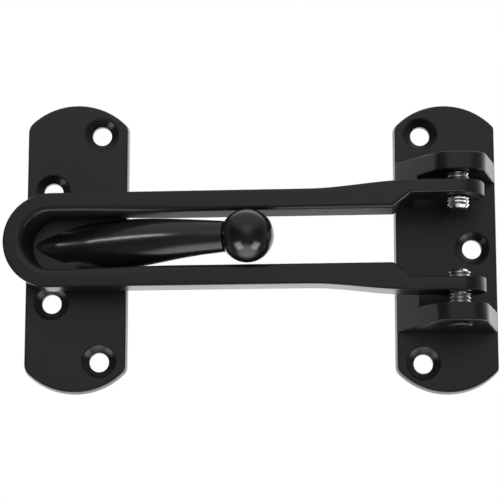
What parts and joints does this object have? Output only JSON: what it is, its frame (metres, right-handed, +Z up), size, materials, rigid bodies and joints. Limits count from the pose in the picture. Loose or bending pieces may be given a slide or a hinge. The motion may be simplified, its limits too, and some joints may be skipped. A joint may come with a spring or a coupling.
{
  "type": "door chain guard",
  "caption": "Swing bar door guard: a slotted U bar hinged between the lugs of a plate, folded over a ball-ended horn on a keeper plate.",
  "frame": {"origin": "centre of the hinge plate's back face, where it lies on the door frame", "axes": "+X from the keeper to the hinge plate, +Y into the wall behind the plates, +Z up along the hinge line"},
  "size_m": [0.1265, 0.0264, 0.0758],
  "materials": {
    "black_coating": "satin black coating on cast zinc",
    "black_horn_coating": "smoother satin black coating on cast zinc",
    "bright_steel": "bright zinc plated steel"
  },
  "bodies": {
    "hinge_side": {"hinge_plate": "black_coating", "hinge_screw_upper": "bright_steel", "hinge_screw_lower": "bright_steel"},
    "bar": {"swing_bar": "black_coating"},
    "keeper": {"keeper_plate": "black_coating", "ball_horn": "black_horn_coating", "ball_knob": "black_horn_coating", "horn_screw_1": "bright_steel", "horn_screw_2": "bright_steel"}
  },
  "joints": [
    {"name": "bar_swing", "type": "hinge", "parent": "hinge_side", "child": "bar", "pos_m": [0.0018, -0.0164, 0], "axis": [0, 0, 1], "range_deg": [0, 180]},
    {"name": "keeper_travel", "type": "slide", "parent": "hinge_side", "child": "keeper", "axis": [1, 0, 0], "range_m": [0, 0.039]}
  ]
}
